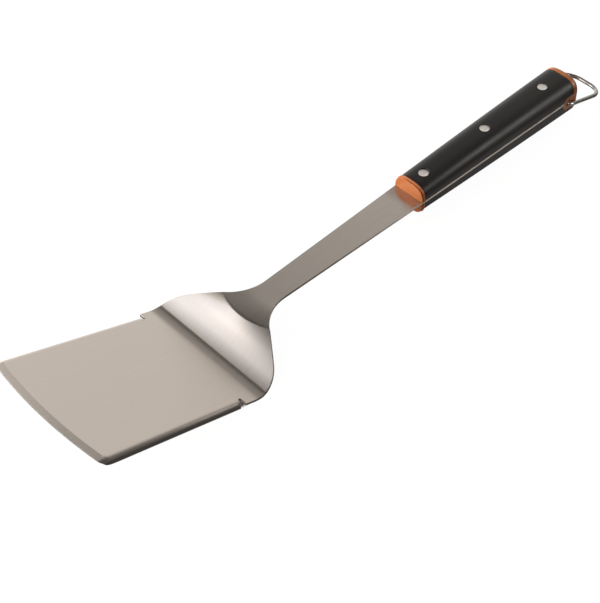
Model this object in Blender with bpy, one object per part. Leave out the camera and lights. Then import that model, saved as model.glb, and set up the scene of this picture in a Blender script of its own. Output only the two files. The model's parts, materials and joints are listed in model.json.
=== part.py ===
"""Grill spatula: a stamped steel blade and tang, a two-scale riveted handle and a wire hanging bail.

The tool lies on a table at z = 0, with its heel, the butt of its handle and the end of its bail touching it.
+X runs from the blade to the butt, +Y across, +Z up. The origin is under the middle of the bounding box.
Design lengths are in millimetres and are measured along X from the valley fold between blade and riser;
objects are made in metres.
"""

import math

import bmesh
import bpy
from mathutils import Matrix, Vector

MM = 0.001
GAP = 0.3
CUT_MARGIN = 2.0

# Steel plate
PLATE = 1.8
TANG_HEIGHT = 14.7
BLADE_PITCH = math.radians(21.8)
RISER_EXIT_SLOPE = math.radians(15.0)
RISER_STEEPEST = math.radians(26.3)
RISER_ENTRY_SLOPE = math.radians(18.0)
EASE_SLOPE = math.radians(7.0)
VALLEY_BOTTOM_X = 0.8
VALLEY_BLADE_RADIUS = 20.0
VALLEY_RISER_RADIUS = 10.0
RISER_FOOT_RADIUS = 45.0
RISER_HEAD_RADIUS = 80.0
RIDGE_RADIUS = 8.0
NECK_BEND_RADIUS = 110.0
RIDGE_BOW = 5.4

# Blade outline, measured along the blade from the valley fold
BLADE_LENGTH = 134.7
FRONT_SAGITTA = 4.7
FRONT_HALF_WIDTH = 51.3
REAR_HALF_WIDTH = 49.1
FRONT_CORNER_RADIUS = 6.5
BEVEL_WIDTH = 4.5
EDGE_THICKNESS = 0.6
FLANGE_RADIUS = 3.8
FLANGE_ANGLE = math.radians(80.0)
FLANGE_LIP = 1.3
SLOT_FRONT = 17.0
SLOT_WIDTH = 2.2
SLOT_DEPTH_Y = 44.9

# Heel, neck, shank and tang outline
HEEL_HALF_WIDTH = 50.6
HEEL_CORNER_RADIUS = 25.0
SHOULDER_ANGLE = math.radians(52.0)
NECK_FILLET_RADIUS = 30.0
NECK_END = 57.0
NECK_HALF_WIDTH = 9.4
HANDLE_FRONT = 183.6
HANDLE_REAR = 349.0
HANDLE_FRONT_HALF_WIDTH = 12.7
HANDLE_REAR_HALF_WIDTH = 14.9
TANG_INSET = 0.15
SHANK_HALF_WIDTH = 12.4
TANG_END = 343.0

# Handle section: a superellipse, squarer below than above, that grows towards the butt
HANDLE_FRONT_HEIGHT = 11.5
UPPER_POWER = 3.0
LOWER_FRONT_POWER = 3.1
LOWER_REAR_POWER = 4.2
SWELL_POWER = 2.0
BOLSTER_LENGTH = 3.1
CAP_LENGTH = 5.3
CAP_EDGE = 3.0
CAP_OVERLAP = 1.3

# (distance behind the front face, depth below the handle surface): a rim, a groove and a raised ring
BOLSTER_PROFILE = (
    (0.0, 0.1),
    (0.15, -0.1),
    (0.65, -0.1),
    (0.95, 0.5),
    (1.45, 0.5),
    (1.75, -0.4),
    (2.0, -0.5),
    (2.6, -0.5),
    (2.95, -0.28),
)

# Rivets
RIVET_FIRST = 197.7
RIVET_PITCH = 62.8
RIVET_NAMES = ("front", "middle", "rear")
RIVET_HEAD_RADIUS = 3.7
RIVET_HEAD_THICKNESS = 1.6
RIVET_RECESS = 0.5
RIVET_HOLE_RADIUS = 2.45
SOCKET_RADIUS = 2.1
SOCKET_BORE = 1.6
POST_RADIUS = 1.4
RIVET_CHAMFER = 0.4
POST_SHORT = 3.0
SOCKET_SHORT = 1.0
BORE_FLOOR = 1.0

# Tongues that hold the bolsters and the end cap under the scales
TONGUE_WIDTH = 12.0
TONGUE_THICKNESS = 2.0
TONGUE_OVERRUN = 5.0

# Side lobes of the end cap, and the bail that turns in them
PIVOT_X = 338.2
PIVOT_DROP = 1.0
LOBE_RADIUS = 5.8
LOBE_INNER_Y = 9.0
LOBE_BLANK_FRONT = PIVOT_X - 12.0
PIVOT_HOLE_RADIUS = 2.2
WIRE_RADIUS = 1.5
BAIL_HALF_WIDTH = 16.7
BAIL_LENGTH = 42.2
BAIL_CORNER_RADIUS = 13.0
BAIL_ELBOW_RADIUS = 2.4
PEG_INNER_Y = 10.4

STEEL = ("brushed_steel", (0.44, 0.40, 0.36), 0.38, 1.0)
BLACK = ("black_scale", (0.022, 0.020, 0.020), 0.38, 0.0)
ORANGE = ("orange_polymer", (0.72, 0.22, 0.07), 0.42, 0.0)
RIVET_STEEL = ("rivet_steel", (0.55, 0.50, 0.45), 0.35, 1.0)
WIRE_STEEL = ("wire_steel", (0.55, 0.53, 0.50), 0.22, 1.0)


def front_reach():
    """How far the blade's front edge lies ahead of the valley fold, along X."""
    return BLADE_LENGTH * math.cos(BLADE_PITCH) + PLATE * math.sin(BLADE_PITCH)


PIVOT_Z = TANG_HEIGHT - PIVOT_DROP
BAIL_TILT = math.asin((PIVOT_Z - WIRE_RADIUS) / BAIL_LENGTH)
REAR_REACH = PIVOT_X + BAIL_LENGTH * math.cos(BAIL_TILT) + WIRE_RADIUS
CENTRE_X = (REAR_REACH - front_reach()) / 2


def world(x, y, z):
    """A design point, in millimetres from the valley fold, as a point of the part in metres."""
    return Vector(((x - CENTRE_X) * MM, y * MM, z * MM))


# ---- Helpers

def start_clean():
    for obj in list(bpy.data.objects):
        bpy.data.objects.remove(obj)


def material(spec):
    name, colour, roughness, metallic = spec
    found = bpy.data.materials.get(name)
    if found:
        return found
    made = bpy.data.materials.new(name)
    made.use_nodes = True
    shader = made.node_tree.nodes["Principled BSDF"]
    shader.inputs["Base Color"].default_value = (*colour, 1.0)
    shader.inputs["Roughness"].default_value = roughness
    shader.inputs["Metallic"].default_value = metallic
    return made


def add_object(name, bm, spec=None):
    """A new object from a bmesh whose points are already in the part's frame."""
    bmesh.ops.recalc_face_normals(bm, faces=bm.faces)
    mesh = bpy.data.meshes.new(name)
    bm.to_mesh(mesh)
    bm.free()
    obj = bpy.data.objects.new(name, mesh)
    bpy.context.collection.objects.link(obj)
    if spec:
        mesh.materials.append(material(spec))
        mesh.shade_smooth()
        mesh.set_sharp_from_angle(angle=math.radians(35))
    return obj


def as_cutter(obj):
    obj.hide_render = True
    obj.display_type = "WIRE"
    return obj


def boolean(obj, other, operation="DIFFERENCE"):
    modifier = obj.modifiers.new(f"{operation.lower()}_{other.name}", "BOOLEAN")
    modifier.operation = operation
    modifier.solver = "EXACT"
    modifier.object = other


def loft(rings):
    """A closed solid through rings of points, which all have the same number of points."""
    bm = bmesh.new()
    loops = [[bm.verts.new(point) for point in ring] for ring in rings]
    for first, second in zip(loops, loops[1:]):
        for i in range(len(first)):
            j = (i + 1) % len(first)
            bm.faces.new((first[i], first[j], second[j], second[i]))
    bm.faces.new(loops[0])
    bm.faces.new(loops[-1])
    return bm


def box(low, high):
    """A box between two design corners."""
    bm = bmesh.new()
    bmesh.ops.create_cube(bm, size=1.0)
    a, b = world(*low), world(*high)
    size = b - a
    bmesh.ops.transform(
        bm, matrix=Matrix.Translation((a + b) / 2) @ Matrix.Diagonal((*size, 1.0)), verts=bm.verts
    )
    return bm


def turned(profile, x, z, segments=32, axis="Z"):
    """A solid turned about a vertical axis, or about one along Y, through (x, z).

    The profile is a list of (radius, height) from its top to its bottom. Its ends are closed on the axis.
    """
    centre = world(x, 0, z)
    rings = []
    for radius, height in profile:
        ring = []
        for i in range(segments):
            turn = math.tau * (i + 0.5) / segments
            u = radius * MM * math.cos(turn)
            v = radius * MM * math.sin(turn)
            if axis == "Z":
                ring.append(centre + Vector((u, v, height * MM)))
            else:
                ring.append(centre + Vector((u, height * MM, v)))
        rings.append(ring)
    return loft(rings)


# ---- Steel plate

VALLEY_START = (VALLEY_BLADE_RADIUS * math.sin(BLADE_PITCH) - VALLEY_BOTTOM_X) / math.cos(BLADE_PITCH)
FOLD_Z = PLATE + VALLEY_BLADE_RADIUS * (1 - math.cos(BLADE_PITCH)) - VALLEY_START * math.sin(BLADE_PITCH)
FLANGE_WIDTH = FLANGE_RADIUS * math.sin(FLANGE_ANGLE) + FLANGE_LIP * math.cos(FLANGE_ANGLE)


def bend(start, radius, from_slope, to_slope, steps):
    """Points and slopes along an arc of the plate's top line, after its start."""
    turn_side = 1 if to_slope > from_slope else -1
    x, z, _ = start
    points = []
    for i in range(1, steps + 1):
        slope = from_slope + (to_slope - from_slope) * i / steps
        dx = turn_side * radius * (math.sin(slope) - math.sin(from_slope))
        dz = -turn_side * radius * (math.cos(slope) - math.cos(from_slope))
        points.append((x + dx, z + dz, slope))
    return points


def straight(start, length, steps):
    x, z, slope = start
    return [
        (x + math.cos(slope) * length * i / steps, z + math.sin(slope) * length * i / steps, slope)
        for i in range(1, steps + 1)
    ]


def rear_line():
    """The top line from the valley's lowest point up the riser and along the tang: (x, z, slope)."""
    line = [(VALLEY_BOTTOM_X, PLATE, 0.0)]
    line += bend(line[-1], VALLEY_RISER_RADIUS, 0.0, RISER_EXIT_SLOPE, 5)
    line += bend(line[-1], RISER_FOOT_RADIUS, RISER_EXIT_SLOPE, RISER_STEEPEST, 4)
    rise_above = (
        RISER_HEAD_RADIUS * (math.cos(RISER_ENTRY_SLOPE) - math.cos(RISER_STEEPEST))
        + RIDGE_RADIUS * (math.cos(EASE_SLOPE) - math.cos(RISER_ENTRY_SLOPE))
        + NECK_BEND_RADIUS * (1 - math.cos(EASE_SLOPE))
    )
    rise = TANG_HEIGHT + PLATE / 2 - line[-1][1] - rise_above
    line += straight(line[-1], rise / math.sin(RISER_STEEPEST), 6)
    line += bend(line[-1], RISER_HEAD_RADIUS, RISER_STEEPEST, RISER_ENTRY_SLOPE, 4)
    line += bend(line[-1], RIDGE_RADIUS, RISER_ENTRY_SLOPE, EASE_SLOPE, 3)
    line += bend(line[-1], NECK_BEND_RADIUS, EASE_SLOPE, 0.0, 5)
    line += straight(line[-1], NECK_END - line[-1][0], 2)
    line += straight(line[-1], HANDLE_FRONT - line[-1][0], 2)
    line += straight(line[-1], TANG_END - line[-1][0], 2)
    return line


def blade_point(along):
    """The top line at a distance along the blade ahead of the valley fold: (x, z, slope)."""
    if along >= VALLEY_START:
        return (-along * math.cos(BLADE_PITCH), FOLD_Z + along * math.sin(BLADE_PITCH), -BLADE_PITCH)
    slope = -BLADE_PITCH * along / VALLEY_START
    return (
        VALLEY_BOTTOM_X + VALLEY_BLADE_RADIUS * math.sin(slope),
        PLATE + VALLEY_BLADE_RADIUS * (1 - math.cos(slope)),
        slope,
    )


def half_width(x):
    """Half the plate's width from its heel to the end of its tang."""
    fillet_y = NECK_HALF_WIDTH + NECK_FILLET_RADIUS
    line_end = NECK_END - NECK_FILLET_RADIUS * math.sin(SHOULDER_ANGLE)
    line_end_y = fillet_y - NECK_FILLET_RADIUS * math.cos(SHOULDER_ANGLE)
    corner_y = HEEL_HALF_WIDTH - HEEL_CORNER_RADIUS
    line_start_y = corner_y + HEEL_CORNER_RADIUS * math.cos(SHOULDER_ANGLE)
    line_start = line_end - (line_start_y - line_end_y) / math.tan(SHOULDER_ANGLE)
    corner_x = line_start - HEEL_CORNER_RADIUS * math.sin(SHOULDER_ANGLE)
    if x <= corner_x:
        return HEEL_HALF_WIDTH
    if x <= line_start:
        return corner_y + math.sqrt(HEEL_CORNER_RADIUS**2 - (x - corner_x) ** 2)
    if x <= line_end:
        return line_end_y + (line_end - x) * math.tan(SHOULDER_ANGLE)
    if x <= NECK_END:
        return fillet_y - math.sqrt(NECK_FILLET_RADIUS**2 - (NECK_END - x) ** 2)
    if x <= HANDLE_FRONT:
        share = (x - NECK_END) / (HANDLE_FRONT - NECK_END)
        return NECK_HALF_WIDTH + (SHANK_HALF_WIDTH - NECK_HALF_WIDTH) * share
    return handle_half_width(x) - TANG_INSET


def blade_half_width(along):
    """Half the width over the outsides of the side flanges."""
    return REAR_HALF_WIDTH + (FRONT_HALF_WIDTH - REAR_HALF_WIDTH) * along / BLADE_LENGTH


FLAT_COLUMNS = 12
FLANGE_COLUMNS = 5


def flange_profile(column):
    """Offset from the flat's edge for a column of the side flange: (dy, dz, normal y, normal z, flat length).

    The columns turn round the flange's bend, and the last one is the edge of its straight lip.
    """
    turn = FLANGE_ANGLE * min(1.0, column / (FLANGE_COLUMNS - 1))
    lip = FLANGE_LIP if column == FLANGE_COLUMNS else 0.0
    s, c = math.sin(turn), math.cos(turn)
    dy = FLANGE_RADIUS * s + lip * c
    dz = -FLANGE_RADIUS * (1 - c) - lip * s
    return (dy, dz, s, c, FLANGE_RADIUS * turn + lip)


def front_edge(lateral):
    """Distance of the front edge ahead of the valley fold, at a flat distance from the blade's middle."""
    curve = BLADE_LENGTH - FRONT_SAGITTA * (lateral / FRONT_HALF_WIDTH) ** 2
    full = FRONT_HALF_WIDTH - FLANGE_WIDTH + flange_profile(FLANGE_COLUMNS)[4]
    into_corner = lateral - (full - FRONT_CORNER_RADIUS)
    if into_corner <= 0:
        return curve
    return curve - FRONT_CORNER_RADIUS + math.sqrt(max(0.0, FRONT_CORNER_RADIUS**2 - into_corner**2))


def plate_row_blade(share):
    """One row of the flanged blade: share 0 is the front edge, 1 the bevel's back, 2 the relief slot."""
    row = []
    for column in range(FLAT_COLUMNS + FLANGE_COLUMNS + 1):
        near_flat = FRONT_HALF_WIDTH - FLANGE_WIDTH
        if column <= FLAT_COLUMNS:
            lateral, dy, dz, ny, nz = near_flat * column / FLAT_COLUMNS, 0.0, 0.0, 0.0, 1.0
        else:
            dy, dz, ny, nz, flat = flange_profile(column - FLAT_COLUMNS)
            lateral = near_flat + flat
        front = front_edge(lateral)
        if share <= 1:
            along = front - BEVEL_WIDTH * share
        else:
            along = front - BEVEL_WIDTH + (SLOT_FRONT - front + BEVEL_WIDTH) * (share - 1)
        x, z, slope = blade_point(along)
        flat_edge = blade_half_width(along) - FLANGE_WIDTH
        y = flat_edge * min(column, FLAT_COLUMNS) / FLAT_COLUMNS + dy
        thickness = PLATE if share >= 1 else PLATE - (PLATE - EDGE_THICKNESS) * nz
        row.append((x, y, z, slope, dz, ny, nz, thickness))
    return row


def plate_row_flat(x, z, slope, width, inner_share=None, bow=0.0, columns=FLAT_COLUMNS + FLANGE_COLUMNS):
    """One flat row of the plate. The inner columns reach the line on which the relief slots end."""
    share = SLOT_DEPTH_Y / HEEL_HALF_WIDTH if inner_share is None else inner_share
    row = []
    for column in range(columns + 1):
        if column <= FLAT_COLUMNS:
            y = width * share * column / FLAT_COLUMNS
        else:
            y = width * (share + (1 - share) * (column - FLAT_COLUMNS) / FLANGE_COLUMNS)
        shift = -bow * (1 - (y / width) ** 2)
        row.append((x + shift, y, z, slope, 0.0, 0.0, 1.0, PLATE))
    return row


def plate_rows():
    rows = [plate_row_blade(share) for share in (0, 1, 1.25, 1.5, 1.75, 2)]
    radius = SLOT_WIDTH / 2
    slot_middle = SLOT_FRONT - radius
    for offset in (0.75 * radius, 0.0, -0.75 * radius):
        depth = SLOT_DEPTH_Y + radius - math.sqrt(radius**2 - offset**2)
        x, z, slope = blade_point(slot_middle + offset)
        rows.append(plate_row_flat(x, z, slope, depth, inner_share=1.0, columns=FLAT_COLUMNS))
    slot_back = SLOT_FRONT - SLOT_WIDTH
    heel = [slot_back - (slot_back - VALLEY_START) * i / 3 for i in range(3)]
    heel += [VALLEY_START * (6 - i) / 6 for i in range(6)]
    for along in heel:
        x, z, slope = blade_point(along)
        inner = (SLOT_DEPTH_Y + radius) / HEEL_HALF_WIDTH if along == slot_back else None
        rows.append(plate_row_flat(x, z, slope, half_width(x), inner_share=inner))
    line = rear_line()
    ridge_x = next(x for x, _, slope in line if x > VALLEY_START and slope < RISER_ENTRY_SLOPE)
    for x, z, slope in line:
        if x < ridge_x:
            bump = max(0.0, (x - VALLEY_START) / (ridge_x - VALLEY_START))
        else:
            bump = max(0.0, 1 - (x - ridge_x) / (NECK_END - ridge_x))
        rows.append(plate_row_flat(x, z, slope, half_width(x), bow=RIDGE_BOW * bump**2))
    return rows


def blade_and_tang():
    """The stamped plate: rows of top points, the same points a thickness lower, and walls round the rim."""
    bm = bmesh.new()
    top, bottom = [], []
    for row in plate_rows():
        top_row, bottom_row = {}, {}
        for side in (1, -1):
            for column, (x, y, z, slope, dz, ny, nz, thickness) in enumerate(row):
                if side < 0 and column == 0:
                    continue
                up = Vector((-math.sin(slope), 0.0, math.cos(slope)))
                full_up = up * nz + Vector((0.0, side * ny, 0.0))
                surface = Vector((x, side * y, z)) + up * dz
                low = surface - full_up * PLATE
                high = low + full_up * thickness
                top_row[side * column] = bm.verts.new(world(*high))
                bottom_row[side * column] = bm.verts.new(world(*low))
        top.append(top_row)
        bottom.append(bottom_row)
    edges = {}
    for i in range(len(top) - 1):
        columns = sorted(set(top[i]) & set(top[i + 1]))
        for a, b in zip(columns, columns[1:]):
            cell = ((i, a), (i, b), (i + 1, b), (i + 1, a))
            bm.faces.new([top[r][c] for r, c in cell])
            bm.faces.new([bottom[r][c] for r, c in reversed(cell)])
            for first, second in zip(cell, cell[1:] + cell[:1]):
                edges[(first, second)] = (second, first)
    for (first, second), reverse in edges.items():
        if reverse not in edges:
            bm.faces.new(
                (
                    top[second[0]][second[1]],
                    top[first[0]][first[1]],
                    bottom[first[0]][first[1]],
                    bottom[second[0]][second[1]],
                )
            )
    return add_object("blade_and_tang", bm, STEEL)


# ---- Handle

def handle_half_width(x):
    share = (x - HANDLE_FRONT) / (HANDLE_REAR - HANDLE_FRONT)
    return HANDLE_FRONT_HALF_WIDTH + (HANDLE_REAR_HALF_WIDTH - HANDLE_FRONT_HALF_WIDTH) * share


def handle_height(x):
    """Height of the handle's surface above the middle of the tang. The butt rests on the table."""
    ahead = (HANDLE_REAR - x) / (HANDLE_REAR - HANDLE_FRONT)
    return TANG_HEIGHT - (TANG_HEIGHT - HANDLE_FRONT_HEIGHT) * max(0.0, ahead) ** SWELL_POWER


def section(x, side, inset=0.0, base=None, steps=18):
    """The upper (side 1) or lower half of the handle's section: (y, distance from the middle of the tang)."""
    width, height = handle_half_width(x) - inset, handle_height(x) - inset
    share = (x - HANDLE_FRONT) / (HANDLE_REAR - HANDLE_FRONT)
    lower_power = LOWER_FRONT_POWER + (LOWER_REAR_POWER - LOWER_FRONT_POWER) * share
    power = UPPER_POWER if side > 0 else lower_power
    start = math.asin((base / height) ** (power / 2)) if base else 0.0
    points = []
    for i in range(steps + 1):
        turn = start + (math.pi - 2 * start) * i / steps
        c, s = math.cos(turn), math.sin(turn)
        y = math.copysign(width * abs(c) ** (2 / power), c)
        points.append((y, height * s ** (2 / power)))
    return points


def half_solid(stations, side):
    """One side of the handle above (side 1) or below (side -1) the tang, through (x, inset) stations."""
    base = PLATE / 2 + GAP / 2
    rings = []
    for x, inset in stations:
        ring = section(x, side, inset, base)
        rings.append([world(x, y, TANG_HEIGHT + side * z) for y, z in ring])
    return loft(rings)


def full_solid(stations):
    rings = []
    for x, inset in stations:
        upper = section(x, 1, inset)
        lower = [(-y, -z) for y, z in section(x, -1, inset)[1:-1]]
        rings.append([world(x, y, TANG_HEIGHT + z) for y, z in upper + lower])
    return loft(rings)


def handle_stations(start, end, count):
    return [(start + (end - start) * i / count, 0.0) for i in range(count + 1)]


def rivet_x(index):
    return RIVET_FIRST + RIVET_PITCH * index


def rivet_hole(index):
    x = rivet_x(index)
    reach = TANG_HEIGHT + CUT_MARGIN
    name = f"cut_rivet_hole_{RIVET_NAMES[index]}"
    profile = [(RIVET_HOLE_RADIUS, reach), (RIVET_HOLE_RADIUS, -reach)]
    return as_cutter(add_object(name, turned(profile, x, TANG_HEIGHT)))


def head_floor(index):
    """Distance from the middle of the tang to the underside of a rivet's head."""
    return handle_height(rivet_x(index)) - RIVET_RECESS - RIVET_HEAD_THICKNESS


def counterbore(index, side):
    x = rivet_x(index)
    floor = head_floor(index) - GAP
    radius = RIVET_HEAD_RADIUS + GAP
    ends = sorted((side * floor, side * (TANG_HEIGHT + CUT_MARGIN)), reverse=True)
    name = f"cut_counterbore_{RIVET_NAMES[index]}_{'upper' if side > 0 else 'lower'}"
    profile = [(radius, ends[0]), (radius, ends[1])]
    return as_cutter(add_object(name, turned(profile, x, TANG_HEIGHT)))


def tongue_box(start, end, side, margin=0.0):
    """The block of a tongue between the tang and a scale, or with a margin, the pocket it lies in."""
    near = PLATE / 2 + (GAP / 2 if margin == 0 else -GAP)
    far = PLATE / 2 + GAP / 2 + TONGUE_THICKNESS + margin
    heights = sorted((TANG_HEIGHT + side * near, TANG_HEIGHT + side * far))
    half = TONGUE_WIDTH / 2 + margin
    return box((start, -half, heights[0]), (end, half, heights[1]))


def front_tongue(side, margin=0.0):
    start = HANDLE_FRONT + BOLSTER_LENGTH / 2 - margin
    return tongue_box(start, rivet_x(0) + TONGUE_OVERRUN + margin, side, margin)


def rear_tongue(side, margin=0.0):
    end = HANDLE_REAR - CAP_LENGTH / 2 + margin
    return tongue_box(rivet_x(2) - TONGUE_OVERRUN - margin, end, side, margin)


def lobe_prism(name, clearance=0.0):
    """The outline of the end cap's side lobes, round in front, as a prism along Y on each side."""
    bm = bmesh.new()
    radius = LOBE_RADIUS + clearance
    outline = []
    for i in range(17):
        turn = math.pi / 2 + math.pi * i / 16
        outline.append((PIVOT_X + radius * math.cos(turn), PIVOT_Z + radius * math.sin(turn)))
    rear = HANDLE_REAR - CAP_LENGTH / 2
    outline += [(rear, PIVOT_Z - radius), (rear, PIVOT_Z + radius)]
    for side in (1, -1):
        inner, outer = LOBE_INNER_Y - clearance, HANDLE_REAR_HALF_WIDTH + CUT_MARGIN
        near = [bm.verts.new(world(x, side * inner, z)) for x, z in outline]
        far = [bm.verts.new(world(x, side * outer, z)) for x, z in outline]
        for i in range(len(outline)):
            j = (i + 1) % len(outline)
            bm.faces.new((near[i], near[j], far[j], far[i]))
        bm.faces.new(near)
        bm.faces.new(far)
    return as_cutter(add_object(name, bm))


def scale(name, side, cutters):
    start = HANDLE_FRONT + BOLSTER_LENGTH + GAP
    end = HANDLE_REAR - CAP_LENGTH - GAP
    obj = add_object(name, half_solid(handle_stations(start, end, 10), side), BLACK)
    for cutter in cutters:
        boolean(obj, cutter)
    return obj


def bolster(name, side, hole):
    stations = [(HANDLE_FRONT + along, inset) for along, inset in BOLSTER_PROFILE]
    stations.append((HANDLE_FRONT + BOLSTER_LENGTH, 0.0))
    obj = add_object(name, half_solid(stations, side), ORANGE)
    tongue = as_cutter(add_object(f"join_{name}_tongue", front_tongue(side)))
    boolean(obj, tongue, "UNION")
    boolean(obj, hole)
    return obj


def end_cap(hole):
    rear, edge = HANDLE_REAR, CAP_EDGE
    stations = [(rear - CAP_LENGTH, 0.0)]
    stations += [
        (rear - edge * (1 - math.sin(turn)), edge * (1 - math.cos(turn)))
        for turn in (math.radians(15) * i for i in range(7))
    ]
    obj = add_object("end_cap", full_solid(stations), ORANGE)
    lobe_ends = (LOBE_BLANK_FRONT, PIVOT_X, rear - CAP_LENGTH + CAP_OVERLAP)
    lobes = add_object("join_lobes", full_solid([(x, 0.0) for x in lobe_ends]))
    boolean(as_cutter(lobes), lobe_prism("cut_lobes_outline"), "INTERSECT")
    boolean(obj, lobes, "UNION")
    for side in (1, -1):
        tongue = as_cutter(add_object(f"join_cap_tongue_{side + 1}", rear_tongue(side)))
        boolean(obj, tongue, "UNION")
    boolean(obj, hole)
    for side in (1, -1):
        inner, outer = LOBE_INNER_Y - CUT_MARGIN, BAIL_HALF_WIDTH + CUT_MARGIN
        ends = sorted((side * inner, side * outer), reverse=True)
        profile = [(PIVOT_HOLE_RADIUS, ends[0]), (PIVOT_HOLE_RADIUS, ends[1])]
        pivot = add_object(f"cut_pivot_{side + 1}", turned(profile, PIVOT_X, PIVOT_Z, 24, "Y"))
        boolean(obj, as_cutter(pivot))
    return obj


def rivet_post(index):
    """The upper half of a two-part rivet: a head and a solid post."""
    under = head_floor(index)
    top = under + RIVET_HEAD_THICKNESS
    tip = POST_SHORT - under
    profile = [
        (RIVET_HEAD_RADIUS - RIVET_CHAMFER, top),
        (RIVET_HEAD_RADIUS, top - RIVET_CHAMFER),
        (RIVET_HEAD_RADIUS, under),
        (POST_RADIUS, under),
        (POST_RADIUS, tip),
    ]
    name = f"rivet_{RIVET_NAMES[index]}_post"
    return add_object(name, turned(profile, rivet_x(index), TANG_HEIGHT), RIVET_STEEL)


def rivet_socket(index):
    """The lower half: a head and a tube that takes the post."""
    under = head_floor(index)
    bottom = under + RIVET_HEAD_THICKNESS
    profile = [
        (SOCKET_BORE, under - SOCKET_SHORT),
        (SOCKET_RADIUS, under - SOCKET_SHORT),
        (SOCKET_RADIUS, -under),
        (RIVET_HEAD_RADIUS, -under),
        (RIVET_HEAD_RADIUS, RIVET_CHAMFER - bottom),
        (RIVET_HEAD_RADIUS - RIVET_CHAMFER, -bottom),
    ]
    bore = [(SOCKET_BORE, under + CUT_MARGIN), (SOCKET_BORE, BORE_FLOOR - under)]
    name = f"rivet_{RIVET_NAMES[index]}_socket"
    obj = add_object(name, turned(profile, rivet_x(index), TANG_HEIGHT), RIVET_STEEL)
    cutter = add_object(f"cut_{name}_bore", turned(bore, rivet_x(index), TANG_HEIGHT, 24))
    boolean(obj, as_cutter(cutter))
    return obj


# ---- Bail

def bail_outline():
    """Half of the wire's centre line, from its peg to the loop's middle: (distance from the pivot, y)."""
    elbow = BAIL_ELBOW_RADIUS
    points = [(0.0, PEG_INNER_Y), (0.0, BAIL_HALF_WIDTH - elbow)]
    for i in range(1, 6):
        turn = math.pi / 2 * i / 5
        points.append((elbow * (1 - math.cos(turn)), BAIL_HALF_WIDTH - elbow * (1 - math.sin(turn))))
    corner = BAIL_CORNER_RADIUS
    leg_end = BAIL_LENGTH - corner
    points.append((leg_end / 2, BAIL_HALF_WIDTH))
    for i in range(9):
        turn = math.pi / 2 * i / 8
        points.append((leg_end + corner * math.sin(turn), BAIL_HALF_WIDTH - corner * (1 - math.cos(turn))))
    return points


def hanging_bail():
    half = bail_outline()
    path = half + [(along, -y) for along, y in reversed(half)]
    curve = bpy.data.curves.new("hanging_bail", "CURVE")
    curve.dimensions = "3D"
    curve.bevel_depth = WIRE_RADIUS * MM
    curve.bevel_resolution = 3
    curve.use_fill_caps = True
    spline = curve.splines.new("POLY")
    spline.points.add(len(path) - 1)
    for point, (along, y) in zip(spline.points, path):
        drop = along * math.sin(BAIL_TILT)
        reach = along * math.cos(BAIL_TILT)
        point.co = (reach * MM, y * MM, -drop * MM, 1.0)
    curve.materials.append(material(WIRE_STEEL))
    obj = bpy.data.objects.new("hanging_bail", curve)
    bpy.context.collection.objects.link(obj)
    pivot = bpy.data.objects.new("bail_pivot", None)
    bpy.context.collection.objects.link(pivot)
    pivot.location = world(PIVOT_X, 0, PIVOT_Z)
    obj.parent = pivot
    return obj


def main():
    start_clean()
    bpy.context.scene.unit_settings.scale_length = 1.0
    holes = [rivet_hole(i) for i in range(3)]
    lobe_cut = lobe_prism("cut_lobe_clearance", GAP)
    plate = blade_and_tang()
    for cutter in holes + [lobe_cut]:
        boolean(plate, cutter)
    for name, side in (("upper", 1), ("lower", -1)):
        pockets = [
            as_cutter(add_object(f"cut_front_pocket_{name}", front_tongue(side, GAP))),
            as_cutter(add_object(f"cut_rear_pocket_{name}", rear_tongue(side, GAP))),
        ]
        bores = [counterbore(i, side) for i in range(3)]
        scale(f"{name}_scale", side, holes + bores + pockets + [lobe_cut])
        bolster(f"front_bolster_{name}", side, holes[0])
    end_cap(holes[2])
    for i in range(3):
        rivet_post(i)
        rivet_socket(i)
    hanging_bail()


main()
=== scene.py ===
"""Grill spatula: the looks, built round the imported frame.

Design lengths are in millimetres: x back from the valley fold, y across the tool, z up from the table.
"""

import json
import math

import bmesh
import bpy
from mathutils import Matrix, Vector

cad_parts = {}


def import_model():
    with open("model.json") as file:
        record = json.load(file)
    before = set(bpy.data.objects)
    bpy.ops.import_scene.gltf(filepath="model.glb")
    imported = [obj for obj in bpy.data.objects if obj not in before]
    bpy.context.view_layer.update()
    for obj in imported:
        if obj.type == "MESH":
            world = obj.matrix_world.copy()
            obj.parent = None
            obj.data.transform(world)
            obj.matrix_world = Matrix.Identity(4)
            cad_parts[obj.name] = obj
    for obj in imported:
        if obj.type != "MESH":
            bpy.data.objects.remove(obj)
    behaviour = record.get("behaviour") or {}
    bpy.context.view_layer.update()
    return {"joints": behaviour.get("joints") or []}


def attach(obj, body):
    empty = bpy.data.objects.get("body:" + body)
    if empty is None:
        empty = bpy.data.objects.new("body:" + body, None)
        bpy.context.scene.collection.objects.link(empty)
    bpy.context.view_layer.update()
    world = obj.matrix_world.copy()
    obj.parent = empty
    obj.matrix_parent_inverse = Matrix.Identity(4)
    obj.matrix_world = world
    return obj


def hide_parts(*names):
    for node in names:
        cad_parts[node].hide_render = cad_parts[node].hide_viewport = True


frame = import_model()

MM = 0.001

PLATE = 1.8
TANG_HEIGHT = 14.7
BLADE_PITCH = math.radians(21.8)
RISER_EXIT_SLOPE = math.radians(15.0)
RISER_STEEPEST = math.radians(26.3)
RISER_ENTRY_SLOPE = math.radians(18.0)
EASE_SLOPE = math.radians(7.0)
VALLEY_BOTTOM_X = 0.8
VALLEY_BLADE_RADIUS = 20.0
VALLEY_RISER_RADIUS = 10.0
RISER_FOOT_RADIUS = 45.0
RISER_HEAD_RADIUS = 80.0
RIDGE_RADIUS = 8.0
NECK_BEND_RADIUS = 110.0
RIDGE_BOW = 5.4
RIDGE_STEPS = 8

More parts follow.
